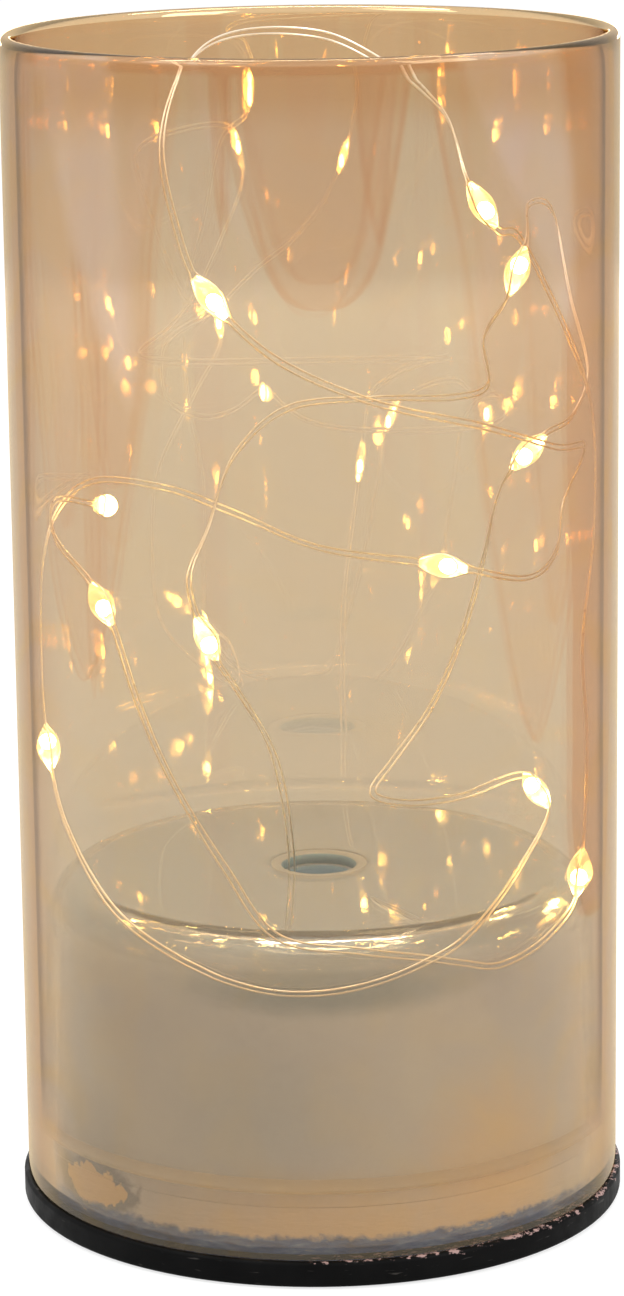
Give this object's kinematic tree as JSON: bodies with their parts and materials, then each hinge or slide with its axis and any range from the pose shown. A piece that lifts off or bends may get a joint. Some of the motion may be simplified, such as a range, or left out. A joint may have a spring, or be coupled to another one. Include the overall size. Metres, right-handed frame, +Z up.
{
  "type": "glass led light",
  "caption": "Open glass cylinder lamp with a domed false bottom, a black battery base under it and a string of wire-light beads coming up through the dome's hole.",
  "frame": {"origin": "centre of the ring that the base stands on", "axes": "+Z up along the glass's axis, towards its open mouth; +Y towards the side of the base that holds the switch; -X towards the battery door's hinge"},
  "size_m": [0.0762, 0.0762, 0.1466],
  "materials": {
    "lustre_glass": "amber lustre on clear glass, glossy",
    "pearl_lining": "pearl, soft sheen",
    "adhesive": "cured clear adhesive, chipped look through glass",
    "black_plastic": "matte moulded black",
    "box_plastic": "moulded black",
    "screw_steel": "zinc plated",
    "door_plastic": "moulded black",
    "cell_wrap": "plain shrink wrap",
    "contact_metal": "nickel plated spring steel",
    "board": "solder mask",
    "chip_plastic": "moulded chip body",
    "crystal_metal": "plain metal can",
    "resistor": "ceramic block with metal caps",
    "capacitor": "ceramic block with metal caps",
    "switch_metal": "tinned sheet",
    "slider_plastic": "moulded white",
    "lead_red": "insulated lead",
    "lead_black": "insulated lead",
    "hot_glue": "milky hot glue",
    "light_chip": "warm white light chip",
    "wire_metal": "lacquered copper strands",
    "bead_resin": "clear resin drop"
  },
  "bodies": {
    "light_body": {"glass_body": "lustre_glass", "dome_lining": "pearl_lining", "adhesive_ring": "adhesive", "base_plate": "black_plastic", "battery_box": "box_plastic", "box_screws": "screw_steel", "battery_cell_1": "cell_wrap", "battery_cell_2": "cell_wrap", "battery_cell_3": "cell_wrap", "contact_positive_out": "contact_metal", "contact_negative_out": "contact_metal", "bridge_contact_a": "contact_metal", "bridge_contact_b": "contact_metal", "circuit_board": "board", "timer_chip": "chip_plastic", "crystal": "crystal_metal", "resistors": "resistor", "capacitor": "capacitor", "switch_housing": "switch_metal", "battery_lead_positive": "lead_red", "battery_lead_negative": "lead_black", "strain_relief": "hot_glue", "light_chips": "light_chip", "wire_stretch_01": "wire_metal", "wire_stretch_02": "wire_metal", "wire_stretch_03": "wire_metal", "wire_stretch_04": "wire_metal", "wire_stretch_05": "wire_metal", "wire_stretch_06": "wire_metal", "wire_stretch_07": "wire_metal", "wire_stretch_08": "wire_metal", "wire_stretch_09": "wire_metal", "wire_stretch_10": "wire_metal", "wire_stretch_11": "wire_metal", "led_bead_01": "bead_resin", "led_bead_02": "bead_resin", "led_bead_03": "bead_resin", "led_bead_04": "bead_resin", "led_bead_05": "bead_resin", "led_bead_06": "bead_resin", "led_bead_07": "bead_resin", "led_bead_08": "bead_resin", "led_bead_09": "bead_resin", "led_bead_10": "bead_resin", "led_bead_11": "bead_resin"},
    "door": {"battery_door": "door_plastic"},
    "slider": {"switch_slider": "slider_plastic"}
  },
  "joints": [
    {"name": "battery_door_hinge", "type": "hinge", "parent": "light_body", "child": "door", "pos_m": [-0.02445, 0, 0.0015], "axis": [0, 1, 0], "range_deg": [0, 95]},
    {"name": "switch_slide", "type": "slide", "parent": "light_body", "child": "slider", "axis": [1, 0, 0], "range_m": [0, 0.004]}
  ]
}
